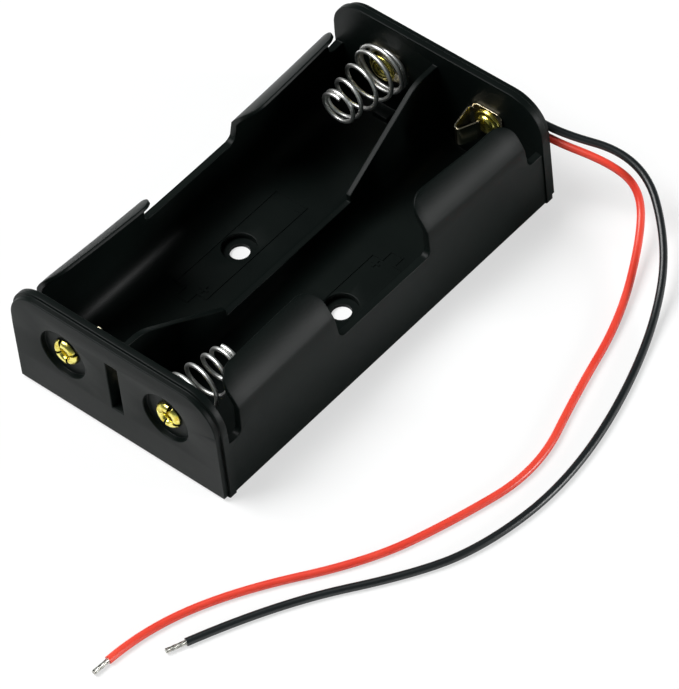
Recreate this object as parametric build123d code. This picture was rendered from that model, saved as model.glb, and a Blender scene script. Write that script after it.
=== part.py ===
from build123d import *
import math
import os

# Twin holder for two cylindrical cells lying side by side.
# Frame in millimetres: +X runs along the cell axes toward the wired end plate,
# +Y toward the bay whose spring is at the wired end, +Z up out of the bays.
# The origin is on the underside, at the middle of the tray.

os.makedirs("parts", exist_ok=True)

# Cells that the bays take, and the spare room around them
CELL_DIAMETER = 18.4
CELL_LENGTH = 65.0
CELL_GAP = 2.4
CONTACT_ROOM = 7.6

# Moulded tray
WALL = 1.3
FLOOR = 1.8
CRADLE_R = 4.0
WALL_FOOT_R = 0.5
PLATE_OVERHANG = 0.3
PLATE_FLANGE = 1.2
PLATE_BOSS = 1.0
PLATE_BOSS_INSET = 0.5
PLATE_CORNER_R = 6.5
PLATE_FOOT_R = 0.6
PLATE_ABOVE_LIPS = 0.65

# Retaining lips, concentric with the cells and thinner toward the tip
LIP_CLEARANCE = 1.0
LIP_THICKNESS = 1.1
LIP_TIP_THICKNESS = 0.7
LIP_ANGLE = 54.0
FINGER_GAP = 20.8
LIP_END_GAP = 3.1
LIP_INNER_SLANT = 0.2
LIP_OUTER_SLANT = 0.6
LIP_INNER_CORNER_R = 3.5
LIP_OUTER_CORNER_R = 3.5
LIP_FOOT_R = 1.2

# Divider between the bays
DIVIDER = 1.0
DIVIDER_MID_DROP = 4.7
DIVIDER_STEP = 1.3
DIVIDER_STEP_X = 14.4
DIVIDER_TOP_DROP = 2.8
DIVIDER_SHOULDER = 4.8
DIVIDER_SHOULDER_R = 7.0

# Screw holes in the floor, one per bay
SCREW_HOLE_R = 1.65
SCREW_SEAT_R = 2.8
SCREW_SEAT_DEPTH = 1.1

# Rivet seats in the end plates
RIVET_RISE = 0.9
RECESS_R = 4.5
RIVET_HOLE_R = 1.3

# Window for the series link, in the linked end plate only
WINDOW_WIDTH = 2.4
WINDOW_BELOW_RIVET = 5.7
WINDOW_ABOVE_RIVET = 4.4
WINDOW_BITE = 1.0

# Foot stops in front of the springs
STOP_SETBACK = 3.0
STOP_LENGTH = 1.5
STOP_WIDTH = 3.0
STOP_HEIGHT = 1.0

# Tubular rivets
SHANK_CLEARANCE = 0.05
HEAD_R = 2.5
HEAD_THICKNESS = 0.4
CROWN_R = 1.8
CROWN_HEIGHT = 0.8
TUBE_WALL = 0.4
CURL_R = 2.5
CURL_HEIGHT = 0.8
CURL_MOUTH_R = 1.2
CURL_CREST_R = 1.9
BORE_BLIND = 0.5
PETALS = 4
PETAL_SLIT = 0.3
LEAF_RIVET_TURN = 20.0
SPRING_RIVET_TURN = 70.0

# Nickel plated strip
STRIP = 0.3
LINK_HEIGHT = 5.0
TERMINAL_WIDTH = 7.0
TERMINAL_HEIGHT = 6.0
TERMINAL_CORNER_R = 1.0

# Leaf contact, as distances from its seat and from the cell axis
TAB_WIDTH = 5.9
TAB_HEIGHT = 6.0
TAB_OUTER_EDGE = 2.9
LEAF_HEIGHT = 3.6
LEAF_FOLD_R = 0.8
LEAF_TIP_R = 0.7
LEAF_CORNER_OUT = 6.85
LEAF_CORNER_SIDE = 2.25
LEAF_END_OUT = 2.0
LEAF_END_SIDE = 0.2

# Conical coil springs
SPRING_WIRE = 0.7
SPRING_BASE_OD = 9.4
SPRING_TIP_OD = 6.3
SPRING_LENGTH = 12.0
SPRING_LOOP_TURNS = 0.8
SPRING_RUNOUT_TURNS = 0.6
SPRING_BASE_TURNS = 1.5
SPRING_ACTIVE_TURNS = 3.0
SPRING_TIP_TURNS = 1.4
SPRING_COIL_GAP = 0.08
SPRING_LOOP_CLEARANCE = 0.1
SPRING_STEPS = 12
SPRING_WIRE_SIDES = 8

# Solder joints on the wired rivets
SOLDER_BASE_R = 1.85
SOLDER_HEIGHT = 1.35
SOLDER_STEPS = 2
CONDUCTOR_R = 0.45
STRIPPED_LENGTH = 3.2

# Insulated leads, stripped and tinned at the far end
LEAD_DIAMETER = 1.3
LEAD_SIDES = 10
LEAD_STANDOFF = 0.8
LEAD_FIRST_RUN = 5.0
LEAD_CROSSING_RISE = 4.6
TIP_DIAMETER = 0.8
RED_TIP_LENGTH = 3.0
BLACK_TIP_LENGTH = 3.3
BEND_SHARE = 0.45

# Values that follow from the ones above
CELL_RADIUS = CELL_DIAMETER / 2
CELL_SPACING = CELL_DIAMETER + CELL_GAP
CELL_Y = CELL_SPACING / 2
CELL_Z = FLOOR + CELL_RADIUS
BAY_END_X = (CELL_LENGTH + CONTACT_ROOM) / 2
FLANGE_OUT_X = BAY_END_X + PLATE_FLANGE
HALF_LENGTH = FLANGE_OUT_X + PLATE_BOSS
WALL_IN_Y = CELL_Y + CELL_RADIUS
WALL_OUT_Y = WALL_IN_Y + WALL
HALF_WIDTH = WALL_OUT_Y + PLATE_OVERHANG
WALL_HEIGHT = CELL_Z
LIP_INNER_R = CELL_RADIUS + LIP_CLEARANCE
LIP_OUTER_R = LIP_INNER_R + LIP_THICKNESS
LIP_INNER_X = FINGER_GAP / 2
LIP_OUTER_X = BAY_END_X - LIP_END_GAP
TRAY_HEIGHT = CELL_Z + LIP_OUTER_R * math.sin(math.radians(LIP_ANGLE)) + PLATE_ABOVE_LIPS
DIVIDER_MID_HEIGHT = CELL_Z - DIVIDER_MID_DROP
DIVIDER_TOP = TRAY_HEIGHT - DIVIDER_TOP_DROP
RIVET_Z = CELL_Z + RIVET_RISE
SHANK_R = RIVET_HOLE_R - SHANK_CLEARANCE
BORE_R = SHANK_R - TUBE_WALL
LEAD_START_X = HALF_LENGTH + LEAD_STANDOFF
LEAD_REST_Z = LEAD_DIAMETER / 2
RED_START_Y = -CELL_Y - STRIPPED_LENGTH
BLACK_START_Y = CELL_Y - STRIPPED_LENGTH
CROSSING_Z = RIVET_Z + LEAD_CROSSING_RISE

# Lead routes. Beyond the end plate they are set out from the corner of the tray
# that the leads go round, at (HALF_LENGTH, -HALF_WIDTH).
RED_ROUTE = [
    (LEAD_START_X, RED_START_Y, RIVET_Z),
    (LEAD_START_X, RED_START_Y - LEAD_FIRST_RUN, RIVET_Z),
    (HALF_LENGTH + 3.9, -HALF_WIDTH - 8.8, 10.2),
    (HALF_LENGTH + 4.6, -HALF_WIDTH - 13.4, 6.0),
    (HALF_LENGTH - 0.9, -HALF_WIDTH - 17.5, 2.3),
    (HALF_LENGTH - 14.3, -HALF_WIDTH - 24.3, LEAD_REST_Z),
    (HALF_LENGTH - 29.5, -HALF_WIDTH - 28.3, LEAD_REST_Z),
    (HALF_LENGTH - 44.8, -HALF_WIDTH - 33.4, LEAD_REST_Z),
    (HALF_LENGTH - 60.2, -HALF_WIDTH - 29.4, LEAD_REST_Z),
    (HALF_LENGTH - 73.3, -HALF_WIDTH - 24.4, LEAD_REST_Z),
    (HALF_LENGTH - 89.1, -HALF_WIDTH - 12.5, LEAD_REST_Z),
    (HALF_LENGTH - 102.7, -HALF_WIDTH - 6.6, LEAD_REST_Z),
    (HALF_LENGTH - 110.1, -HALF_WIDTH - 6.2, LEAD_REST_Z),
]

BLACK_ROUTE = [
    (LEAD_START_X, BLACK_START_Y, RIVET_Z),
    (LEAD_START_X, BLACK_START_Y - LEAD_FIRST_RUN, RIVET_Z),
    (LEAD_START_X, -CELL_Y + 5.0, CROSSING_Z),
    (LEAD_START_X, -CELL_Y - 1.2, CROSSING_Z),
    (HALF_LENGTH + 1.1, -HALF_WIDTH + 2.4, 13.4),
    (HALF_LENGTH + 7.6, -HALF_WIDTH - 11.7, 10.5),
    (HALF_LENGTH - 0.9, -HALF_WIDTH - 23.0, 4.9),
    (HALF_LENGTH - 12.5, -HALF_WIDTH - 29.5, LEAD_REST_Z),
    (HALF_LENGTH - 30.2, -HALF_WIDTH - 35.8, LEAD_REST_Z),
    (HALF_LENGTH - 45.8, -HALF_WIDTH - 38.2, LEAD_REST_Z),
    (HALF_LENGTH - 59.5, -HALF_WIDTH - 36.5, LEAD_REST_Z),
    (HALF_LENGTH - 69.9, -HALF_WIDTH - 32.2, LEAD_REST_Z),
    (HALF_LENGTH - 87.6, -HALF_WIDTH - 18.7, LEAD_REST_Z),
    (HALF_LENGTH - 100.7, -HALF_WIDTH - 13.1, LEAD_REST_Z),
]


def both_bays(shape):
    """A feature of the left bay and the same feature turned half round for the right bay."""
    return [shape, Rot(0, 0, 180) * shape]


def trough():
    """Floor, side walls and the foot of the divider as one drawn section."""
    outer = Pos(0, WALL_HEIGHT / 2) * Rectangle(2 * WALL_OUT_Y, WALL_HEIGHT)
    outer = fillet(outer.vertices().sort_by(Axis.Y)[:2], WALL_FOOT_R)
    bay_width = WALL_IN_Y - DIVIDER / 2
    bay_height = WALL_HEIGHT
    bay = Pos(DIVIDER / 2 + bay_width / 2, FLOOR + bay_height / 2) * Rectangle(bay_width, bay_height)
    bay = fillet(bay.vertices().sort_by(Axis.Y)[:2], CRADLE_R)
    crest = Pos(0, DIVIDER_MID_HEIGHT + WALL_HEIGHT / 2) * Rectangle(2 * DIVIDER, WALL_HEIGHT)
    section = outer - bay - mirror(bay, Plane.YZ) - crest
    return extrude(Plane.YZ * section, amount=BAY_END_X, both=True)


def end_plate():
    """Rounded end plate with the slightly smaller raised face on its outside."""
    flange = Pos(0, TRAY_HEIGHT / 2) * Rectangle(2 * HALF_WIDTH, TRAY_HEIGHT)
    corners = flange.vertices().sort_by(Axis.Y)
    flange = fillet(corners[2:], PLATE_CORNER_R)
    flange = fillet(flange.vertices().sort_by(Axis.Y)[:2], PLATE_FOOT_R)
    boss = offset(flange, -PLATE_BOSS_INSET)
    plate = extrude(Plane.YZ.offset(BAY_END_X) * flange, PLATE_FLANGE)
    return plate + extrude(Plane.YZ.offset(FLANGE_OUT_X) * boss, PLATE_BOSS)


def polar(radius, angle):
    """A step of this length in the YZ plane, its angle in degrees from +Y toward +Z."""
    return Vector(radius * math.cos(math.radians(angle)), radius * math.sin(math.radians(angle)))


def lip():
    """Raised wall and curved retaining lip beside the wired half of the left bay."""
    crease_z = CELL_Z + math.sqrt(LIP_OUTER_R ** 2 - (WALL_OUT_Y - CELL_Y) ** 2)
    inner_z = CELL_Z + math.sqrt(LIP_INNER_R ** 2 - (WALL_IN_Y - CELL_Y) ** 2)
    crease_angle = math.degrees(math.asin((crease_z - CELL_Z) / LIP_OUTER_R))
    inner_angle = math.degrees(math.asin((inner_z - CELL_Z) / LIP_INNER_R))
    root_z = WALL_HEIGHT - WALL
    tip_inner_r = LIP_OUTER_R - LIP_TIP_THICKNESS
    centre = Vector(CELL_Y, CELL_Z)
    outer_arc = CenterArc((CELL_Y, CELL_Z), LIP_OUTER_R, crease_angle, LIP_ANGLE - crease_angle)
    inner_middle = centre + polar((LIP_INNER_R + tip_inner_r) / 2, (inner_angle + LIP_ANGLE) / 2)
    inner_tip = centre + polar(tip_inner_r, LIP_ANGLE)
    inner_arc = ThreePointArc((WALL_IN_Y, inner_z), inner_middle, inner_tip)
    outline = [
        outer_arc,
        Line(outer_arc @ 1, inner_arc @ 1),
        inner_arc,
        Line(inner_arc @ 0, (WALL_IN_Y, root_z)),
        Line((WALL_IN_Y, root_z), (WALL_OUT_Y, root_z)),
        Line((WALL_OUT_Y, root_z), outer_arc @ 0),
    ]
    blank = extrude(Plane.YZ * make_face(Curve() + outline), BAY_END_X)
    inner_top_x = LIP_INNER_X + LIP_INNER_SLANT
    outer_top_x = LIP_OUTER_X - LIP_OUTER_SLANT
    elevation = make_face(Polyline(
        (LIP_INNER_X, root_z),
        (LIP_INNER_X, WALL_HEIGHT),
        (inner_top_x, crease_z),
        (inner_top_x, TRAY_HEIGHT),
        (outer_top_x, TRAY_HEIGHT),
        (outer_top_x, crease_z),
        (LIP_OUTER_X, WALL_HEIGHT),
        (LIP_OUTER_X, root_z),
        close=True,
    ))
    window = extrude(Plane.XZ * elevation, -HALF_WIDTH)
    body = blank & window
    tip = centre + polar(LIP_OUTER_R - LIP_TIP_THICKNESS / 2, LIP_ANGLE)
    inner_corner = body.edges().sort_by_distance((inner_top_x, tip.X, tip.Y))[0]
    body = fillet(inner_corner, LIP_INNER_CORNER_R)
    outer_corner = body.edges().sort_by_distance((outer_top_x, tip.X, tip.Y))[0]
    return fillet(outer_corner, LIP_OUTER_CORNER_R)


def divider():
    """Wall between the bays: low in the middle, ramped up to a shoulder at both ends."""
    shoulder_x = BAY_END_X - DIVIDER_SHOULDER
    half = make_face(Polyline(
        (0, FLOOR / 2),
        (0, DIVIDER_MID_HEIGHT),
        (DIVIDER_STEP_X, DIVIDER_MID_HEIGHT),
        (DIVIDER_STEP_X, DIVIDER_MID_HEIGHT + DIVIDER_STEP),
        (shoulder_x, DIVIDER_TOP),
        (BAY_END_X, DIVIDER_TOP),
        (BAY_END_X, FLOOR / 2),
        close=True,
    ))
    shoulder = half.vertices().sort_by_distance((shoulder_x, DIVIDER_TOP, 0))[0]
    half = fillet(shoulder, DIVIDER_SHOULDER_R)
    elevation = half + mirror(half, Plane.YZ)
    return extrude(Plane.XZ * elevation, amount=DIVIDER / 2, both=True)


def foot_stop():
    """Low block on the floor in front of the spring."""
    block = Box(STOP_LENGTH, STOP_WIDTH, STOP_HEIGHT + FLOOR / 2, align=(Align.MIN, Align.CENTER, Align.MIN))
    return Pos(BAY_END_X - STOP_SETBACK, CELL_Y, FLOOR / 2) * block


def rivet_seats():
    """Round recess and through hole for one rivet, cut along X at the wired end."""
    at_end = Plane.YZ.offset(FLANGE_OUT_X)
    recess = extrude(at_end * Pos(CELL_Y, RIVET_Z) * Circle(RECESS_R), PLATE_BOSS)
    through = extrude(at_end * Pos(CELL_Y, RIVET_Z) * Circle(RIVET_HOLE_R), -PLATE_FLANGE)
    return recess + through


def screw_hole():
    """Countersunk seat and clearance hole for one floor screw."""
    hole = Cylinder(SCREW_HOLE_R, FLOOR, align=(Align.CENTER, Align.CENTER, Align.MIN))
    seat = Cylinder(SCREW_SEAT_R, SCREW_SEAT_DEPTH, align=(Align.CENTER, Align.CENTER, Align.MAX))
    return Pos(0, CELL_Y, 0) * hole + Pos(0, CELL_Y, FLOOR) * seat


def link_window():
    """Opening through the linked end plate and into the end of the divider."""
    length = PLATE_BOSS + PLATE_FLANGE + WINDOW_BITE
    height = WINDOW_BELOW_RIVET + WINDOW_ABOVE_RIVET
    block = Box(length, WINDOW_WIDTH, height, align=(Align.MIN, Align.CENTER, Align.MIN))
    return Pos(-HALF_LENGTH, 0, RIVET_Z - WINDOW_BELOW_RIVET) * block


def make_tray():
    """The whole moulding: trough, end plates, lips and divider as one piece."""
    body = trough() + divider()
    for plate in both_bays(end_plate()):
        body = body + plate
    wired_lip = lip()
    for piece in (wired_lip, mirror(wired_lip, Plane.XZ)):
        body = body + piece + mirror(piece, Plane.YZ)
    feet = []
    for side in (-1, 1):
        for end in (-1, 1):
            for foot_x in (LIP_INNER_X, LIP_OUTER_X):
                spot = (end * foot_x, side * (WALL_OUT_Y - WALL / 2), WALL_HEIGHT)
                feet.append(body.edges().sort_by_distance(spot)[0])
    body = fillet(feet, LIP_FOOT_R)
    for stop in both_bays(foot_stop()):
        body = body + stop
    for cut in both_bays(screw_hole()):
        body = body - cut
    seat = rivet_seats()
    for side_seat in (seat, mirror(seat, Plane.XZ)):
        for cut in both_bays(side_seat):
            body = body - cut
    return body - link_window()


def make_rivet(grip):
    """Tubular rivet along +X, head seat at x = 0, its end rolled outward beyond the grip."""
    crown_out = -HEAD_THICKNESS - CROWN_HEIGHT
    curl_out = grip + CURL_HEIGHT
    section = make_face(Polyline(
        (crown_out, 0),
        (crown_out, CROWN_R),
        (-HEAD_THICKNESS, CROWN_R),
        (-HEAD_THICKNESS, HEAD_R),
        (0, HEAD_R),
        (0, SHANK_R),
        (grip, SHANK_R),
        (grip, CURL_R),
        (curl_out, CURL_CREST_R),
        (curl_out, CURL_MOUTH_R),
        (grip, BORE_R),
        (BORE_BLIND, BORE_R),
        (BORE_BLIND, 0),
        close=True,
    ))
    return revolve(section, Axis.X)


def split_petals(rivet, grip, turn):
    """Cut the rolled end of a rivet into the petals that the star punch leaves."""
    slit = Box(CURL_HEIGHT, PETAL_SLIT, CURL_R, align=(Align.MIN, Align.CENTER, Align.MIN))
    for index in range(PETALS):
        rivet = rivet - Rot(turn + index * 360 / PETALS, 0, 0) * Pos(grip, 0, 0) * slit
    return rivet


def strip_plate(outline):
    """Flat strip of the plated sheet with a rivet hole, seat face at x = 0, toward -X."""
    return extrude(Plane.YZ * outline, -STRIP)


def make_link():
    """Series link lying on the inside of the linked end plate, across both rivets."""
    outline = SlotOverall(CELL_SPACING + LINK_HEIGHT, LINK_HEIGHT)
    for side in (-1, 1):
        outline = outline - Pos(side * CELL_Y, 0) * Circle(RIVET_HOLE_R)
    return Pos(-BAY_END_X, 0, RIVET_Z) * Rot(0, 0, 180) * strip_plate(outline)


def make_terminal():
    """Flat terminal plate under the spring at the wired end."""
    outline = RectangleRounded(TERMINAL_WIDTH, TERMINAL_HEIGHT, TERMINAL_CORNER_R) - Circle(RIVET_HOLE_R)
    return Pos(BAY_END_X, CELL_Y, RIVET_Z) * strip_plate(outline)


def make_leaf():
    """Positive contact of the right bay, seat face at x = 0, folded leaf toward -X."""
    centre = TAB_WIDTH / 2 - TAB_OUTER_EDGE
    tab = Pos(centre, 0) * RectangleRounded(TAB_WIDTH, TAB_HEIGHT, TERMINAL_CORNER_R)
    tab = tab - Circle(RIVET_HOLE_R)
    fold_side = TAB_WIDTH - TAB_OUTER_EDGE + LEAF_FOLD_R - STRIP / 2
    path = FilletPolyline(
        (-STRIP / 2, RIVET_HOLE_R + STRIP),
        (-STRIP / 2, fold_side),
        (-LEAF_CORNER_OUT, LEAF_CORNER_SIDE),
        (-LEAF_END_OUT, LEAF_END_SIDE),
        radius=[LEAF_FOLD_R, LEAF_TIP_R],
    )
    band = trace(path, STRIP)
    leaf = extrude(Plane.XY.offset(-LEAF_HEIGHT / 2) * band, LEAF_HEIGHT)
    return strip_plate(tab) + leaf


def spring_path():
    """Centre line of a conical spring standing on the YZ plane and growing toward -X."""
    base_r = (SPRING_BASE_OD - SPRING_WIRE) / 2
    tip_r = (SPRING_TIP_OD - SPRING_WIRE) / 2
    loop_r = SHANK_R + SPRING_WIRE / 2 + SPRING_LOOP_CLEARANCE
    closed = SPRING_WIRE + SPRING_COIL_GAP
    closed_rise = closed * (SPRING_BASE_TURNS + SPRING_TIP_TURNS)
    active_rise = SPRING_LENGTH - SPRING_WIRE - closed_rise
    stages = [
        (SPRING_LOOP_TURNS, loop_r, 0.0),
        (SPRING_RUNOUT_TURNS, base_r, 0.0),
        (SPRING_BASE_TURNS, base_r, closed * SPRING_BASE_TURNS),
        (SPRING_ACTIVE_TURNS, tip_r, active_rise),
        (SPRING_TIP_TURNS, tip_r, closed * SPRING_TIP_TURNS),
    ]
    points = []
    turn = 0.0
    radius = loop_r
    rise = SPRING_WIRE / 2
    for turns, end_radius, height in stages:
        steps = round(turns * SPRING_STEPS)
        for index in range(steps):
            share = index / steps
            angle = 2 * math.pi * (turn + turns * share)
            r = radius + (end_radius - radius) * share
            points.append((-rise - height * share, r * math.cos(angle), r * math.sin(angle)))
        turn = turn + turns
        radius = end_radius
        rise = rise + height
    angle = 2 * math.pi * turn
    points.append((-rise, radius * math.cos(angle), radius * math.sin(angle)))
    return Polyline(*points)


def make_spring():
    """Conical spring wire, its tail loop flat on the seat and under the rivet head."""
    path = spring_path()
    start = Plane(origin=path @ 0, x_dir=(1, 0, 0), z_dir=path % 0)
    half_side = 180 / SPRING_WIRE_SIDES
    section = RegularPolygon(SPRING_WIRE / 2, SPRING_WIRE_SIDES, major_radius=False, rotation=half_side)
    return sweep(start * section, path=path, transition=Transition.RIGHT)


def bend_radii(route):
    """One tangent bend for each inner point, as long as its shorter straight run allows."""
    radii = []
    for index in range(1, len(route) - 1):
        before = Vector(*route[index]) - Vector(*route[index - 1])
        after = Vector(*route[index + 1]) - Vector(*route[index])
        turn = math.radians(before.get_angle(after))
        radii.append(BEND_SHARE * min(before.length, after.length) / math.tan(turn / 2))
    return radii


def make_lead(name, route):
    """Insulated lead swept along its route of straight runs joined by bends."""
    radii = bend_radii(route)
    path = FilletPolyline(route, radius=radii)
    section = Plane(origin=path @ 0, z_dir=path % 0) * RegularPolygon(LEAD_DIAMETER / 2, LEAD_SIDES)
    solid = sweep(section, path=path)
    print(name, "length", round(path.length, 1), "least bend radius", round(min(radii), 1))
    print(name, "volume over section times length", round(solid.volume / (section.area * path.length), 4))
    print(name, "bend radii", [round(r, 1) for r in radii])
    return solid


def make_tip(route, length):
    """Bare tinned end of a lead, in line with its last run."""
    start = Vector(*route[-1])
    run = start - Vector(*route[-2])
    return extrude(Plane(origin=start, z_dir=run) * RegularPolygon(TIP_DIAMETER / 2, LEAD_SIDES), length)


def make_solder(route_start):
    """Solder dome on the rolled end of a wired rivet, with the bare conductor run into it."""
    sphere_r = (SOLDER_BASE_R ** 2 + SOLDER_HEIGHT ** 2) / (2 * SOLDER_HEIGHT)
    rim_angle = math.asin(SOLDER_BASE_R / sphere_r)
    outline = [(0, 0)]
    for index in range(SOLDER_STEPS + 1):
        angle = rim_angle * (1 - index / SOLDER_STEPS)
        outline.append((SOLDER_HEIGHT - sphere_r + sphere_r * math.cos(angle), sphere_r * math.sin(angle)))
    dome = revolve(make_face(Polyline(*outline, close=True)), Axis.X)
    centre_y = route_start[1] + STRIPPED_LENGTH
    conductor = Cylinder(CONDUCTOR_R, STRIPPED_LENGTH, align=(Align.CENTER, Align.CENTER, Align.MIN))
    return Pos(FLANGE_OUT_X + CURL_HEIGHT, centre_y, RIVET_Z) * dome + Pos(*route_start) * Rot(-90, 0, 0) * conductor


def write(name, shape):
    """Save one piece as a STEP file named after its node."""
    solids = shape.solids()
    shape = solids[0] if len(solids) == 1 else shape
    shape.label = name
    export_step(shape, "parts/" + name + ".step")
    print(name, "solids", len(solids), "volume", round(shape.volume, 2))


to_linked_end = Rot(0, 0, 180)

write("tray", make_tray())
write("series_link", make_link())
write("negative_terminal", make_terminal())

leaf_wired = Pos(BAY_END_X, -CELL_Y, RIVET_Z) * make_leaf()
write("leaf_contact_wired", leaf_wired)
write("leaf_contact_linked", to_linked_end * Pos(-STRIP, 0, 0) * leaf_wired)

spring_wired = Pos(BAY_END_X - STRIP, CELL_Y, RIVET_Z) * make_spring()
write("spring_wired", spring_wired)
write("spring_linked", to_linked_end * spring_wired)

grip_leaf_wired = PLATE_FLANGE + STRIP
grip_leaf_linked = grip_leaf_wired + STRIP
grip_spring = PLATE_FLANGE + STRIP + SPRING_WIRE
rivet_leaf_wired = Pos(FLANGE_OUT_X - grip_leaf_wired, -CELL_Y, RIVET_Z) * make_rivet(grip_leaf_wired)
rivet_spring_wired = Pos(FLANGE_OUT_X - grip_spring, CELL_Y, RIVET_Z) * make_rivet(grip_spring)
rivet_leaf_linked = split_petals(make_rivet(grip_leaf_linked), grip_leaf_linked, LEAF_RIVET_TURN)
rivet_leaf_linked = Pos(FLANGE_OUT_X - grip_leaf_linked, -CELL_Y, RIVET_Z) * rivet_leaf_linked
rivet_spring_linked = split_petals(make_rivet(grip_spring), grip_spring, SPRING_RIVET_TURN)
rivet_spring_linked = Pos(FLANGE_OUT_X - grip_spring, CELL_Y, RIVET_Z) * rivet_spring_linked
write("rivet_leaf_wired", rivet_leaf_wired)
write("rivet_spring_wired", rivet_spring_wired)
write("rivet_leaf_linked", to_linked_end * rivet_leaf_linked)
write("rivet_spring_linked", to_linked_end * rivet_spring_linked)

write("solder_joint_red", make_solder(RED_ROUTE[0]))
write("solder_joint_black", make_solder(BLACK_ROUTE[0]))
write("red_lead", make_lead("red lead", RED_ROUTE))
write("black_lead", make_lead("black lead", BLACK_ROUTE))
write("red_lead_tip", make_tip(RED_ROUTE, RED_TIP_LENGTH))
write("black_lead_tip", make_tip(BLACK_ROUTE, BLACK_TIP_LENGTH))
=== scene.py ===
import math

import bmesh
import bpy
from mathutils import Matrix, Vector


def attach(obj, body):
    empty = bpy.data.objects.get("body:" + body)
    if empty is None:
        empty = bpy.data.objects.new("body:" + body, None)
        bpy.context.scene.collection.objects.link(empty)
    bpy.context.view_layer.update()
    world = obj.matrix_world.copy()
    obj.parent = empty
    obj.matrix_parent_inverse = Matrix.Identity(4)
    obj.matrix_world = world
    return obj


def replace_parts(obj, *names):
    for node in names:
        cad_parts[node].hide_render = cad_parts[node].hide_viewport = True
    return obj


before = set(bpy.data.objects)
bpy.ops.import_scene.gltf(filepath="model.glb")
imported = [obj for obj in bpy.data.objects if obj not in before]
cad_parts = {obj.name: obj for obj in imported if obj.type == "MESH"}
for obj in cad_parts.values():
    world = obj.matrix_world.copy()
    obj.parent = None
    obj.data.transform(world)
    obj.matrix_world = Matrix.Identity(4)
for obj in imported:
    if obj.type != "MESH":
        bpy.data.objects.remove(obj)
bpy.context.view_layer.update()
bpy.context.scene.view_settings.view_transform = "Standard"
bpy.ops.object.select_all(action="DESELECT")

# The camera stands in front of the linked end and above it, about 0.9 m away, with a long
# lens, rolled a few degrees so that the holder lies across the picture from corner to corner.
bpy.ops.object.camera_add(location=(-0.41915, -0.45086, 0.67981))
camera = bpy.context.object
camera.name = "product_camera"
camera.rotation_euler = [math.radians(angle) for angle in (41.2932, 4.8964, -49.0432)]
camera.data.lens = 312.44
camera.data.sensor_width = 36.0
camera.data.clip_start = 0.05
camera.data.clip_end = 20.0
bpy.context.scene.camera = camera

# Hook-up leads: stranded copper in soft vinyl, extruded round it, 1.3 mm across. Each
# is soldered to a rivet at the wired end, drops over the corner of the end plate and lies
# on the table in a long loose curve.
MM = 0.001
LEAD_DIAMETER = 1.3

red_route = [
    (39.3, -13.6, 11.9), (39.3, -18.6, 11.1), (42.4, -30.0, 9.5), (43.1, -34.6, 5.7),
    (37.6, -38.7, 2.3), (24.2, -45.5, 0.65), (9.0, -49.5, 0.65), (-6.3, -54.6, 0.65),
    (-21.7, -50.6, 0.65), (-34.8, -45.6, 0.65), (-50.6, -33.7, 0.65), (-64.2, -27.8, 0.65),
    (-71.6, -27.4, 0.65),
]
black_route = [
    (39.3, 7.2, 11.9), (39.3, 2.2, 11.9), (39.3, -5.4, 16.5), (39.3, -11.6, 16.5),
    (39.6, -18.8, 12.7), (46.1, -32.9, 9.9), (37.6, -44.2, 4.7), (26.0, -50.7, 0.65),
    (8.3, -57.0, 0.65), (-7.3, -59.4, 0.65), (-21.0, -57.7, 0.65), (-31.4, -53.4, 0.65),
    (-49.1, -39.9, 0.65), (-62.2, -34.3, 0.65),
]


def linear(code):
    """An sRGB hex colour as the linear colour that a socket takes."""
    parts = [int(code[place:place + 2], 16) / 255 for place in (1, 3, 5)]
    return [*(c / 12.92 if c <= 0.04045 else ((c + 0.055) / 1.055) ** 2.4 for c in parts), 1.0]


def add_node(material, kind, settings=None, links=None):
    """A shader node with its properties and inputs set, its ramp stops and the sockets that feed it."""
    made = material.node_tree.nodes.new(kind)
    for name, value in (settings or {}).items():
        if name == "stops":
            for stop, (position, colour) in zip(made.color_ramp.elements, value):
                stop.position, stop.color = position, colour
        elif isinstance(name, int) or name in made.inputs:
            made.inputs[name].default_value = value
        else:
            setattr(made, name, value)
    for name, socket in (links or {}).items():
        material.node_tree.links.new(socket, made.inputs[name])
    return made


def new_material(name):
    """An empty material and its object coordinates."""
    material = bpy.data.materials.new(name)
    material.use_nodes = True
    material.node_tree.nodes.clear()
    return material, add_node(material, "ShaderNodeTexCoord").outputs["Object"]


def give_surface(material, shader):
    """Sends a shader to the material's output."""
    add_node(material, "ShaderNodeOutputMaterial", None, {"Surface": shader.outputs[0]})
    return material


def vinyl_insulation(name, low, high, roughness):
    """Plasticised vinyl: satin, its pigment a little uneven, its skin faintly rippled by the die."""
    material, place = new_material(name)
    clouds = add_node(material, "ShaderNodeTexNoise", {"Scale": 1000 / 5.0, "Detail": 3.0}, {"Vector": place})
    tint = add_node(material, "ShaderNodeValToRGB", {"stops": [(0.3, linear(low)), (0.7, linear(high))]},
                    {"Fac": clouds.outputs["Fac"]})
    ripple = add_node(material, "ShaderNodeTexNoise", {"Scale": 1000 / 0.45, "Detail": 2.0},
                      {"Vector": place})
    skin = add_node(material, "ShaderNodeBump", {"Strength": 0.35, "Distance": 0.00004},
                    {"Height": ripple.outputs["Fac"]})
    shader = add_node(material, "ShaderNodeBsdfPrincipled", {"Roughness": roughness, "IOR": 1.53},
                      {"Base Color": tint.outputs["Color"], "Normal": skin.outputs["Normal"]})
    return give_surface(material, shader)


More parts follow.
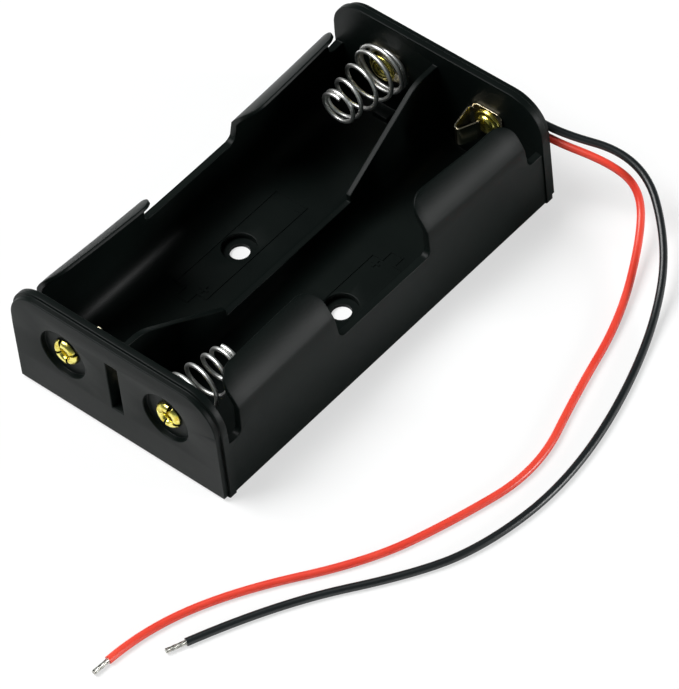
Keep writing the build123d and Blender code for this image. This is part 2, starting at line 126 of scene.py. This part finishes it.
def lay_lead(name, route, material):
    """One lead as a round smooth curve whose control points are the route's."""
    curve = bpy.data.curves.new(name, "CURVE")
    curve.dimensions = "3D"
    spline = curve.splines.new("NURBS")
    spline.points.add(len(route) - 1)
    for point, place in zip(spline.points, route):
        point.co = (*(Vector(place) * MM), 1.0)
    spline.order_u = 3
    spline.use_endpoint_u = True
    spline.resolution_u = 14
    curve.bevel_depth = LEAD_DIAMETER / 2 * MM
    curve.bevel_resolution = 5
    curve.use_fill_caps = True
    curve.materials.append(material)
    lead = bpy.data.objects.new(name, curve)
    bpy.context.scene.collection.objects.link(lead)
    return lead


red_vinyl = vinyl_insulation("red_vinyl_extruded_satin", "#e03b2b", "#ea4b39", 0.34)
black_vinyl = vinyl_insulation("black_vinyl_extruded_satin", "#0d1113", "#14191b", 0.36)
red_insulation = lay_lead("red_lead_insulation", red_route, red_vinyl)
black_insulation = lay_lead("black_lead_insulation", black_route, black_vinyl)

# Stripped ends: fine copper strands, six of them on the outside, twisted together and
# dipped in tin, so the bundle is silvery with a fine spiral groove.
TIP_DIAMETER = 0.8
STRANDS = 6
TWIST_PITCH = 7.0


def tinned_strands():
    """Tin over copper: a pale grey metal, satin, with small dull patches."""
    material, place = new_material("tinned_copper_dipped_satin")
    patches = add_node(material, "ShaderNodeTexNoise", {"Scale": 1000 / 0.6, "Detail": 3.0},
                       {"Vector": place})
    tint = add_node(material, "ShaderNodeValToRGB",
                    {"stops": [(0.35, linear("#a9a7a0")), (0.65, linear("#d9d8d2"))]},
                    {"Fac": patches.outputs["Fac"]})
    dull = add_node(material, "ShaderNodeMapRange", {"To Min": 0.28, "To Max": 0.45},
                    {"Value": patches.outputs["Fac"]})
    shader = add_node(material, "ShaderNodeBsdfPrincipled", {"Metallic": 1.0},
                      {"Base Color": tint.outputs["Color"], "Roughness": dull.outputs["Result"]})
    return give_surface(material, shader)


def twisted_bundle(name, start, along, length, diameter, material):
    """A bundle of strands: a lobed outline extruded in short steps, each turned a little."""
    bpy.ops.object.select_all(action="DESELECT")
    bpy.ops.mesh.primitive_circle_add(vertices=STRANDS * 8, radius=diameter / 2 * MM, fill_type="NGON")
    bundle = bpy.context.object
    bundle.name = name
    for vertex in bundle.data.vertices:
        angle = math.atan2(vertex.co.y, vertex.co.x)
        vertex.co *= 0.80 + 0.20 * abs(math.cos(STRANDS / 2 * angle))
    bpy.ops.object.mode_set(mode="EDIT")
    bpy.ops.mesh.select_all(action="SELECT")
    steps = max(8, round(length / 0.2))
    for step in range(steps):
        bpy.ops.mesh.extrude_region_move(TRANSFORM_OT_translate={"value": (0, 0, length / steps * MM)})
        height = (step + 1) * length / steps * MM
        bpy.ops.transform.rotate(value=2 * math.pi * length / steps / TWIST_PITCH, orient_axis="Z",
                                 center_override=(0, 0, height))
    bpy.ops.mesh.inset(thickness=0.12 * diameter * MM, depth=0.06 * diameter * MM)
    bpy.ops.mesh.select_all(action="SELECT")
    bpy.ops.mesh.normals_make_consistent(inside=False)
    bpy.ops.object.mode_set(mode="OBJECT")
    turn = Vector((0, 0, 1)).rotation_difference(along).to_matrix().to_4x4()
    bundle.data.transform(Matrix.Translation(start) @ turn)
    bpy.ops.object.shade_smooth_by_angle(angle=math.radians(50))
    bundle.data.materials.append(material)
    return bundle


tinned = tinned_strands()
for colour, route, insulation, tip_length in (
    ("red", red_route, red_insulation, 3.0),
    ("black", black_route, black_insulation, 3.3),
):
    far = Vector(route[-1]) * MM
    along = (far - Vector(route[-2]) * MM).normalized()
    tip = twisted_bundle(colour + "_tinned_strands", far, along, tip_length, TIP_DIAMETER, tinned)
    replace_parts(tip, colour + "_lead_tip")
    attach(tip, "root")
    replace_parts(insulation, colour + "_lead")
    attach(insulation, "root")

# Tray: one moulding in black styrene plastic, with trough, end plates, divider, curved
# lips and screw seats. Its long walls are bowed inward a little, and the lips lean in.
TRAY_EDGE = 0.16
TRAY_EDGE_STEPS = 4
TRAY_CREASE = 24
CELL_Y = 10.4
FLOOR_Z = 1.8
PLATE_INNER_X = 36.3
WALL_HEIGHT = 11.0
LIP_TIP_Z = 20.14
WALL_BOW = 0.45
LEFT_LIP_BOW, LEFT_LIP_SKEW, LEFT_LIP_SET = 1.8, 0.015, 0.05
LEFT_LIP_DROP = 1.2
RIGHT_LIP_LEAST = -0.2
WALL_NEAR_Y = 15.0
BOW_CUTS_X = range(-36, 37, 3)
BOW_CUTS_Z = (3, 6, 9, 11, 13)
RIGHT_LIP_BOW, RIGHT_LIP_SKEW, RIGHT_LIP_SET = 1.6, -0.03, -0.2
MARK_WIDTH = 0.3
MARK_HEIGHT = 0.12
MARK_ROOT = 0.1


def moulded_styrene():
    """Black styrene: satin from a lightly eroded mould, with faint flow clouds and rub marks."""
    material, place = new_material("black_styrene_moulded_satin")
    clouds = add_node(material, "ShaderNodeTexNoise", {"Scale": 1000 / 14.0, "Detail": 4.0},
                      {"Vector": place})
    tint = add_node(material, "ShaderNodeValToRGB",
                    {"stops": [(0.3, linear("#070c0b")), (0.7, linear("#0b110f"))]},
                    {"Fac": clouds.outputs["Fac"]})
    grain = add_node(material, "ShaderNodeTexNoise", {"Scale": 1000 / 0.35, "Detail": 3.0}, {"Vector": place})
    wave = add_node(material, "ShaderNodeTexNoise", {"Scale": 1000 / 9.0, "Detail": 2.0}, {"Vector": place})
    swell = add_node(material, "ShaderNodeBump", {"Strength": 0.25, "Distance": 0.0003},
                     {"Height": wave.outputs["Fac"]})
    skin = add_node(material, "ShaderNodeBump", {"Strength": 0.35, "Distance": 0.00003},
                    {"Height": grain.outputs["Fac"], "Normal": swell.outputs["Normal"]})
    rub = add_node(material, "ShaderNodeMapRange", {"To Min": 0.36, "To Max": 0.5},
                   {"Value": clouds.outputs["Fac"]})
    shader = add_node(material, "ShaderNodeBsdfPrincipled", {"IOR": 1.5, "Specular IOR Level": 0.11},
                      {"Base Color": tint.outputs["Color"], "Roughness": rub.outputs["Result"],
                       "Normal": skin.outputs["Normal"]})
    return give_surface(material, shader)


def eased_copy(node, name, width, segments, above, crease, material):
    """The CAD node's shape, in the node's place, with the sharp edges above a height rounded a little."""
    bpy.ops.object.select_all(action="DESELECT")
    piece = bpy.data.objects.new(name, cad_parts[node].data.copy())
    bpy.context.scene.collection.objects.link(piece)
    piece.select_set(True)
    bpy.context.view_layer.objects.active = piece
    piece.data.materials.clear()
    bpy.ops.mesh.customdata_custom_splitnormals_clear()
    bpy.ops.object.mode_set(mode="EDIT")
    bpy.ops.mesh.select_all(action="SELECT")
    bpy.ops.mesh.remove_doubles(threshold=0.000001)
    bpy.ops.mesh.dissolve_limited(angle_limit=math.radians(1.0))
    bpy.ops.mesh.select_all(action="DESELECT")
    bpy.ops.mesh.select_mode(type="EDGE")
    shape = bmesh.from_edit_mesh(piece.data)
    for edge in shape.edges:
        sharp = len(edge.link_faces) == 2 and edge.calc_face_angle() > math.radians(35)
        edge.select_set(sharp and min(end.co.z for end in edge.verts) > above * MM)
    bmesh.update_edit_mesh(piece.data)
    bpy.ops.mesh.bevel(offset=width * MM, segments=segments, profile=0.5, clamp_overlap=False)
    bpy.ops.mesh.select_mode(type="VERT")
    bpy.ops.object.mode_set(mode="OBJECT")
    bpy.ops.object.shade_smooth_by_angle(angle=math.radians(crease))
    piece.data.materials.append(material)
    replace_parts(piece, node)
    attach(piece, "root")
    return piece


def bow_walls(piece):
    """Both side walls bow into the bays between the end plates, and the lips above them lean in further."""
    bpy.ops.object.mode_set(mode="EDIT")
    for normal, places in (((1, 0, 0), BOW_CUTS_X), ((0, 0, 1), BOW_CUTS_Z)):
        for place in places:
            bpy.ops.mesh.select_all(action="SELECT")
            bpy.ops.mesh.bisect(plane_co=Vector(normal) * place * MM, plane_no=normal)
    bpy.ops.object.mode_set(mode="OBJECT")
    for vertex in piece.data.vertices:
        x, y, z = vertex.co / MM
        if abs(y) < WALL_NEAR_Y or abs(x) > PLATE_INNER_X:
            continue
        bow = math.cos(math.pi / 2 * x / PLATE_INNER_X)
        lean = WALL_BOW * bow * min(1.0, max(0.0, z) / WALL_HEIGHT)
        if z > WALL_HEIGHT:
            if y > 0:
                tip = max(0.0, LEFT_LIP_BOW * bow + LEFT_LIP_SKEW * x + LEFT_LIP_SET)
            else:
                tip = max(RIGHT_LIP_LEAST, RIGHT_LIP_BOW * bow + RIGHT_LIP_SKEW * x + RIGHT_LIP_SET)
            share = (z - WALL_HEIGHT) / (LIP_TIP_Z - WALL_HEIGHT)
            lean += (tip - lean) * share
            if y > 0:
                vertex.co.z -= LEFT_LIP_DROP * share * MM
        vertex.co.y -= math.copysign(1.0, y) * lean * MM


def draw_line(name, points):
    """A chain of edges, drawn by extruding one vertex from point to point, left open in edit mode."""
    bpy.ops.object.select_all(action="DESELECT")
    bpy.ops.mesh.primitive_plane_add(size=MM)
    piece = bpy.context.object
    piece.name = name
    bpy.ops.object.mode_set(mode="EDIT")
    bpy.ops.mesh.select_all(action="SELECT")
    bpy.ops.mesh.merge(type="CENTER")
    bpy.ops.transform.translate(value=Vector(points[0]) * MM)
    for before, after in zip(points, points[1:]):
        step = (Vector(after) - Vector(before)) * MM
        bpy.ops.mesh.extrude_region_move(TRANSFORM_OT_translate={"value": step})
    return piece


def floor_mark(name, outline, ring, centre_y, toward):
    """A raised mark on a bay floor: a filled outline, hollowed to a thin ridge if it is a ring."""
    corners = [(toward * x, centre_y + toward * y, FLOOR_Z - MARK_ROOT) for x, y in outline]
    mark = draw_line(name, corners + corners[:1])
    bpy.ops.mesh.select_all(action="SELECT")
    bpy.ops.mesh.remove_doubles(threshold=0.000002)
    bpy.ops.mesh.edge_face_add()
    if ring:
        bpy.ops.mesh.inset(thickness=MARK_WIDTH * MM)
        bpy.ops.mesh.delete(type="ONLY_FACE")
        bpy.ops.mesh.select_all(action="SELECT")
    bpy.ops.mesh.extrude_region_move(TRANSFORM_OT_translate={"value": (0, 0, (MARK_ROOT + MARK_HEIGHT) * MM)})
    bpy.ops.mesh.select_all(action="SELECT")
    bpy.ops.mesh.normals_make_consistent(inside=False)
    bpy.ops.object.mode_set(mode="OBJECT")
    return mark


styrene = moulded_styrene()
tray = eased_copy("tray", "moulded_tray", TRAY_EDGE, TRAY_EDGE_STEPS, 1.2, TRAY_CREASE, styrene)
bow_walls(tray)
cell_outline = [(-12.4, -3.3), (11.3, -3.3), (11.3, -1.3), (13.4, -1.3), (13.4, 1.3), (11.3, 1.3),
                (11.3, 3.3), (-12.4, 3.3)]
plus_outline = [(9.1, 1.35), (9.7, 1.35), (9.7, 0.75), (10.1, 0.75), (10.1, 1.35), (10.7, 1.35), (10.7, 1.75),
                (10.1, 1.75), (10.1, 2.35), (9.7, 2.35), (9.7, 1.75), (9.1, 1.75)]
minus_outline = [(-11.2, 1.8), (-10.8, 1.8), (-10.8, 3.0), (-11.2, 3.0)]
marks = []
for centre_y, toward in ((CELL_Y, -1), (-CELL_Y, 1)):
    for name, outline, ring in (("cell_mark", cell_outline, True), ("plus_mark", plus_outline, False),
                                ("minus_mark", minus_outline, False)):
        marks.append(floor_mark(name, outline, ring, centre_y, toward))
bpy.ops.object.select_all(action="DESELECT")
for mark in marks:
    mark.data.materials.append(styrene)
    mark.select_set(True)
tray.select_set(True)
bpy.context.view_layer.objects.active = tray
bpy.ops.object.join()
bpy.ops.object.shade_smooth_by_angle(angle=math.radians(TRAY_CREASE))

# Nickel plated strip: the series link across the linked end, the flat terminal under the
# wired spring and the two folded leaf contacts, all blanked and bent from 0.3 mm sheet.
# The leaf at the linked end is pressed a little flatter than the other one.
STRIP_EDGE = 0.05
STRIP_EDGE_STEPS = 2
STRIP_CREASE = 35
LEAF_BACK_X = 36.0
LEAF_PRESSED = 0.75


def plated_strip():
    """Bright nickel over steel: the rolling direction shows as faint fine lines."""
    material, place = new_material("nickel_plated_strip_rolled")
    turn = add_node(material, "ShaderNodeMapping", {"Scale": (1.0, 0.06, 1.0)}, {"Vector": place})
    lines = add_node(material, "ShaderNodeTexNoise", {"Scale": 1000 / 0.08, "Detail": 2.0},
                     {"Vector": turn.outputs["Vector"]})
    stain = add_node(material, "ShaderNodeTexNoise", {"Scale": 1000 / 2.2, "Detail": 3.0}, {"Vector": place})
    tint = add_node(material, "ShaderNodeValToRGB",
                    {"stops": [(0.3, linear("#b9ad8c")), (0.7, linear("#cfc9b8"))]},
                    {"Fac": stain.outputs["Fac"]})
    skin = add_node(material, "ShaderNodeBump", {"Strength": 0.2, "Distance": 0.000012},
                    {"Height": lines.outputs["Fac"]})
    shader = add_node(material, "ShaderNodeBsdfPrincipled", {"Metallic": 1.0, "Roughness": 0.2},
                      {"Base Color": tint.outputs["Color"], "Normal": skin.outputs["Normal"]})
    return give_surface(material, shader)


nickel = plated_strip()
for node in ("series_link", "negative_terminal", "leaf_contact_wired", "leaf_contact_linked"):
    strip = eased_copy(node, "plated_" + node, STRIP_EDGE, STRIP_EDGE_STEPS, 0.0, STRIP_CREASE, nickel)
    if node == "leaf_contact_linked":
        for vertex in strip.data.vertices:
            vertex.co.x = (-LEAF_BACK_X + (vertex.co.x / MM + LEAF_BACK_X) * LEAF_PRESSED) * MM

# Coil springs: conical springs wound from 0.7 mm nickel plated spring wire. The last loop
# at the base is flat and held under the rivet head, and the coils close up at both ends.
SPRING_WIRE = 0.7
SPRING_BASE_R = 4.35
SPRING_TIP_R = 2.8
SPRING_LOOP_R = 1.7
SPRING_LENGTH = 12.0
RIVET_Z = 11.9
SPRING_SEAT_X = 36.0


def drawn_wire():
    """Nickel plated spring wire: nearly white, with fine specks in its tint and its surface."""
    material, place = new_material("nickel_plated_spring_wire_drawn")
    specks = add_node(material, "ShaderNodeTexNoise", {"Scale": 1000 / 0.5, "Detail": 3.0}, {"Vector": place})
    tint = add_node(material, "ShaderNodeValToRGB",
                    {"stops": [(0.35, linear("#e4e4e1")), (0.65, linear("#f4f4f2"))]},
                    {"Fac": specks.outputs["Fac"]})
    skin = add_node(material, "ShaderNodeBump", {"Strength": 0.15, "Distance": 0.00002},
                    {"Height": specks.outputs["Fac"]})
    shader = add_node(material, "ShaderNodeBsdfPrincipled", {"Metallic": 1.0, "Roughness": 0.42},
                      {"Base Color": tint.outputs["Color"], "Normal": skin.outputs["Normal"]})
    return give_surface(material, shader)


def wind_spring(name, seat, toward, material):
    """One conical spring: the wire's centre line in stages of turns, each with its radius and rise."""
    closed = SPRING_WIRE + 0.08
    stages = [
        (0.8, SPRING_LOOP_R, 0.0),
        (0.6, SPRING_BASE_R, 0.0),
        (1.5, SPRING_BASE_R, closed * 1.5),
        (3.0, SPRING_TIP_R, SPRING_LENGTH - SPRING_WIRE - closed * 2.9),
        (1.4, SPRING_TIP_R, closed * 1.4),
    ]
    line = []
    turn, radius, rise = 0.0, SPRING_LOOP_R, SPRING_WIRE / 2
    for turns, end_radius, height in stages:
        steps = round(turns * 30)
        for step in range(steps):
            share = step / steps
            angle = 2 * math.pi * (turn + turns * share)
            r = radius + (end_radius - radius) * share
            line.append((rise + height * share, r * math.cos(angle), r * math.sin(angle)))
        turn, radius, rise = turn + turns, end_radius, rise + height
    line.append((rise, radius * math.cos(2 * math.pi * turn), radius * math.sin(2 * math.pi * turn)))
    curve = bpy.data.curves.new(name, "CURVE")
    curve.dimensions = "3D"
    spline = curve.splines.new("POLY")
    spline.points.add(len(line) - 1)
    for point, (out, across, up) in zip(spline.points, line):
        point.co = (*((Vector(seat) + Vector((toward * out, -toward * across, up))) * MM), 1.0)
    curve.bevel_depth = SPRING_WIRE / 2 * MM
    curve.bevel_resolution = 4
    curve.use_fill_caps = True
    spring = bpy.data.objects.new(name, curve)
    bpy.context.scene.collection.objects.link(spring)
    bpy.ops.object.select_all(action="DESELECT")
    spring.select_set(True)
    bpy.context.view_layer.objects.active = spring
    bpy.ops.object.convert(target="MESH")
    spring = bpy.context.object
    spring.data.materials.clear()
    spring.data.materials.append(material)
    bpy.ops.object.shade_smooth_by_angle(angle=math.radians(50))
    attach(spring, "root")
    return spring


wire = drawn_wire()
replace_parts(wind_spring("wired_coil_spring", (SPRING_SEAT_X, CELL_Y, RIVET_Z), -1, wire), "spring_wired")
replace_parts(wind_spring("linked_coil_spring", (-SPRING_SEAT_X, -CELL_Y, RIVET_Z), 1, wire), "spring_linked")

# Tubular rivets: pressed brass, the domed head inside the bay and the tube's end split and
# rolled back on the outside by a star punch, which leaves four petals with dark slits.
PLATE_SEAT_X = 37.5


def pressed_brass():
    """Bright brass with a thin brown film in its low places."""
    material, place = new_material("brass_pressed_bright")
    film = add_node(material, "ShaderNodeTexNoise", {"Scale": 1000 / 0.9, "Detail": 4.0}, {"Vector": place})
    tint = add_node(material, "ShaderNodeValToRGB",
                    {"stops": [(0.32, linear("#d8c23c")), (0.6, linear("#f4ea86"))]},
                    {"Fac": film.outputs["Fac"]})
    dull = add_node(material, "ShaderNodeMapRange", {"To Min": 0.34, "To Max": 0.16},
                    {"Value": film.outputs["Fac"]})
    skin = add_node(material, "ShaderNodeBump", {"Strength": 0.3, "Distance": 0.00004},
                    {"Height": film.outputs["Fac"]})
    shader = add_node(material, "ShaderNodeBsdfPrincipled", {"Metallic": 1.0},
                      {"Base Color": tint.outputs["Color"], "Roughness": dull.outputs["Result"],
                       "Normal": skin.outputs["Normal"]})
    return give_surface(material, shader)


def spin_profile(name, profile, steps):
    """A part turned about X: its profile of (along, radius) points is drawn as a line and spun."""
    piece = draw_line(name, [(along, 0, radius) for along, radius in profile])
    bpy.ops.mesh.select_all(action="SELECT")
    bpy.ops.mesh.spin(steps=steps, angle=2 * math.pi, center=(0, 0, 0), axis=(1, 0, 0))
    bpy.ops.mesh.select_all(action="SELECT")
    bpy.ops.mesh.remove_doubles(threshold=0.000002)
    bpy.ops.mesh.normals_make_consistent(inside=False)
    bpy.ops.object.mode_set(mode="OBJECT")
    return piece


def rivet(name, grip, toward, across, petals, turn):
    """A rivet whose head lies at the inner end of its grip and whose rolled end faces outward."""
    head = spin_profile(name, [
        (-1.2, 0.0), (-1.18, 0.5), (-1.12, 0.95), (-1.0, 1.35), (-0.82, 1.62), (-0.6, 1.75),
        (-0.48, 1.78), (-0.46, 1.95), (-0.42, 2.3), (-0.3, 2.45), (-0.15, 2.5), (0.0, 2.46),
        (0.0, 1.25), (grip, 1.25), (grip + 0.03, 1.28), (grip + 0.03, 0.95), (grip - 0.2, 0.86),
        (0.5, 0.86), (0.5, 0.0),
    ], 48)
    curl = spin_profile(name + "_curl", [
        (grip - 0.2, 0.88), (grip + 0.3, 0.93), (grip + 0.66, 1.05), (grip + 0.88, 1.3),
        (grip + 0.92, 1.62), (grip + 0.78, 1.95), (grip + 0.5, 2.22), (grip + 0.18, 2.38),
    ], 96)
    if petals:
        shape = bmesh.new()
        shape.from_mesh(curl.data)
        gone = []
        for face in shape.faces:
            middle = face.calc_center_median()
            radius = math.hypot(middle.y, middle.z) / MM
            angle = (math.degrees(math.atan2(middle.z, middle.y)) - turn) % 90
            half_slit = math.degrees(0.12 + 0.13 * (radius - 0.9)) / radius
            if min(angle, 90 - angle) < half_slit and radius > 0.98:
                gone.append(face)
        bmesh.ops.delete(shape, geom=gone, context="FACES")
        for vertex in shape.verts:
            quarter = int(((math.degrees(math.atan2(vertex.co.z, vertex.co.y)) - turn) % 360) // 90)
            lift = (0.05, -0.04, 0.02, -0.06)[quarter] * MM
            share = min(1.0, max(0.0, (vertex.co.x - grip * MM) / (0.5 * MM)))
            vertex.co.x += lift * share
        shape.to_mesh(curl.data)
        shape.free()
    bpy.ops.object.select_all(action="DESELECT")
    curl.select_set(True)
    bpy.context.view_layer.objects.active = curl
    wall = curl.modifiers.new("tube_wall", "SOLIDIFY")
    wall.thickness = 0.2 * MM
    wall.offset = -1.0
    bpy.ops.object.modifier_apply(modifier="tube_wall")
    soft = curl.modifiers.new("rolled_edges", "BEVEL")
    soft.width = 0.05 * MM
    soft.segments = 2
    soft.limit_method = "ANGLE"
    soft.angle_limit = math.radians(50)
    bpy.ops.object.modifier_apply(modifier="rolled_edges")
    head.select_set(True)
    bpy.context.view_layer.objects.active = head
    bpy.ops.object.join()
    bpy.ops.object.shade_smooth_by_angle(angle=math.radians(40))
    place = Matrix.Translation(Vector((toward * (PLATE_SEAT_X - grip), across, RIVET_Z)) * MM)
    if toward < 0:
        place = place @ Matrix.Rotation(math.pi, 4, "Z")
    head.data.transform(place)
    head.data.materials.append(brass)
    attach(head, "root")
    return head


brass = pressed_brass()
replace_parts(rivet("wired_leaf_rivet", 1.5, 1, -CELL_Y, False, 0), "rivet_leaf_wired")
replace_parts(rivet("wired_spring_rivet", 2.2, 1, CELL_Y, False, 0), "rivet_spring_wired")
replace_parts(rivet("linked_leaf_rivet", 1.8, -1, CELL_Y, True, 20), "rivet_leaf_linked")
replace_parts(rivet("linked_spring_rivet", 2.2, -1, -CELL_Y, True, 70), "rivet_spring_linked")

# Solder joints: a smooth cone of solder on each wired rivet, wetted up round the stripped
# strands of the lead, which enter it from the side.
SOLDER_SEAT_X = 38.3


def frozen_solder():
    """Solder: light grey metal, bright where it froze smooth and dull where it grained."""
    material, place = new_material("solder_frozen_satin")
    grain = add_node(material, "ShaderNodeTexVoronoi", {"Scale": 1000 / 0.4}, {"Vector": place})
    tint = add_node(material, "ShaderNodeValToRGB",
                    {"stops": [(0.1, linear("#bdbdb8")), (0.8, linear("#96968f"))]},
                    {"Fac": grain.outputs["Distance"]})
    skin = add_node(material, "ShaderNodeBump", {"Strength": 0.2, "Distance": 0.00003},
                    {"Height": grain.outputs["Distance"]})
    shader = add_node(material, "ShaderNodeBsdfPrincipled", {"Metallic": 1.0, "Roughness": 0.3},
                      {"Base Color": tint.outputs["Color"], "Normal": skin.outputs["Normal"]})
    return give_surface(material, shader)


solder = frozen_solder()
for colour, across in (("red", -CELL_Y), ("black", CELL_Y)):
    dome = spin_profile(colour + "_solder_joint", [
        (0.0, 0.0), (0.0, 1.85), (0.22, 1.78), (0.55, 1.5), (0.85, 1.15), (1.1, 0.8),
        (1.28, 0.42), (1.35, 0.0),
    ], 40)
    bpy.ops.object.mode_set(mode="EDIT")
    bpy.ops.mesh.select_all(action="SELECT")
    bpy.ops.transform.vertex_random(offset=0.03 * MM, seed=4)
    bpy.ops.object.mode_set(mode="OBJECT")
    dome.data.transform(Matrix.Translation(Vector((SOLDER_SEAT_X, across, RIVET_Z)) * MM))
    strands = twisted_bundle(colour + "_joint_strands", Vector((39.3, across - 3.2, RIVET_Z)) * MM,
                             Vector((0, 1, 0)), 3.0, 0.86, solder)
    dome.data.materials.append(solder)
    bpy.ops.object.select_all(action="DESELECT")
    strands.select_set(True)
    dome.select_set(True)
    bpy.context.view_layer.objects.active = dome
    bpy.ops.object.join()
    bpy.ops.object.shade_smooth_by_angle(angle=math.radians(50))
    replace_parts(dome, "solder_joint_" + colour)
    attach(dome, "root")

# Studio: a white table that runs out of the picture on all sides and keeps the soft shadow
# under the holder, a wide soft box high over the left bay, and a small one low on the right
# side that gives the lips their sheen.
bpy.ops.mesh.primitive_grid_add(size=6.0, x_subdivisions=4, y_subdivisions=4, location=(0, 0, 0))
table = bpy.context.object
table.name = "studio_table"

paper, paper_place = new_material("white_paper_matt")
seen = add_node(paper, "ShaderNodeLightPath")
matt = add_node(paper, "ShaderNodeBsdfDiffuse", {"Color": linear("#f4f4f4")})
glow = add_node(paper, "ShaderNodeEmission", {"Color": linear("#fefefe"), "Strength": 1.0})
share = add_node(paper, "ShaderNodeMath", {"operation": "MULTIPLY", 1: 0.6},
                 {0: seen.outputs["Is Camera Ray"]})
blend = add_node(paper, "ShaderNodeMixShader", None,
                 {0: share.outputs["Value"], 1: matt.outputs["BSDF"], 2: glow.outputs["Emission"]})
table.data.materials.append(give_surface(paper, blend))


def soft_box(name, place, size, power):
    """A square soft box that faces the holder."""
    bpy.ops.object.light_add(type="AREA", location=place)
    lamp = bpy.context.object
    lamp.name = name
    lamp.data.shape = "SQUARE"
    lamp.data.size = size
    lamp.data.energy = power
    lamp.rotation_euler = (Vector((0, 0, 0.01)) - Vector(place)).to_track_quat("-Z", "Y").to_euler()
    return lamp


soft_box("key_soft_box", (-0.30, 0.42, 0.85), 0.60, 13.0)
soft_box("side_soft_box", (0.43, -0.82, 0.20), 0.26, 5.5)

sky = bpy.data.worlds.new("studio_room")
bpy.context.scene.world = sky
sky.use_nodes = True
sky.node_tree.nodes.clear()
room_seen = add_node(sky, "ShaderNodeLightPath")
way = add_node(sky, "ShaderNodeTexCoord")
height = add_node(sky, "ShaderNodeSeparateXYZ", None, {"Vector": way.outputs["Generated"]})
dusk = add_node(sky, "ShaderNodeValToRGB", {"stops": [(0.05, linear("#d3dedb")), (0.5, linear("#5a6462"))]},
                {"Fac": height.outputs["Z"]})
room = add_node(sky, "ShaderNodeBackground", {"Strength": 0.5}, {"Color": dusk.outputs["Color"]})
backdrop = add_node(sky, "ShaderNodeBackground", {"Color": linear("#fefefe")})
both = add_node(sky, "ShaderNodeMixShader", None,
                {0: room_seen.outputs["Is Camera Ray"], 1: room.outputs["Background"],
                 2: backdrop.outputs["Background"]})
add_node(sky, "ShaderNodeOutputWorld", None, {"Surface": both.outputs["Shader"]})
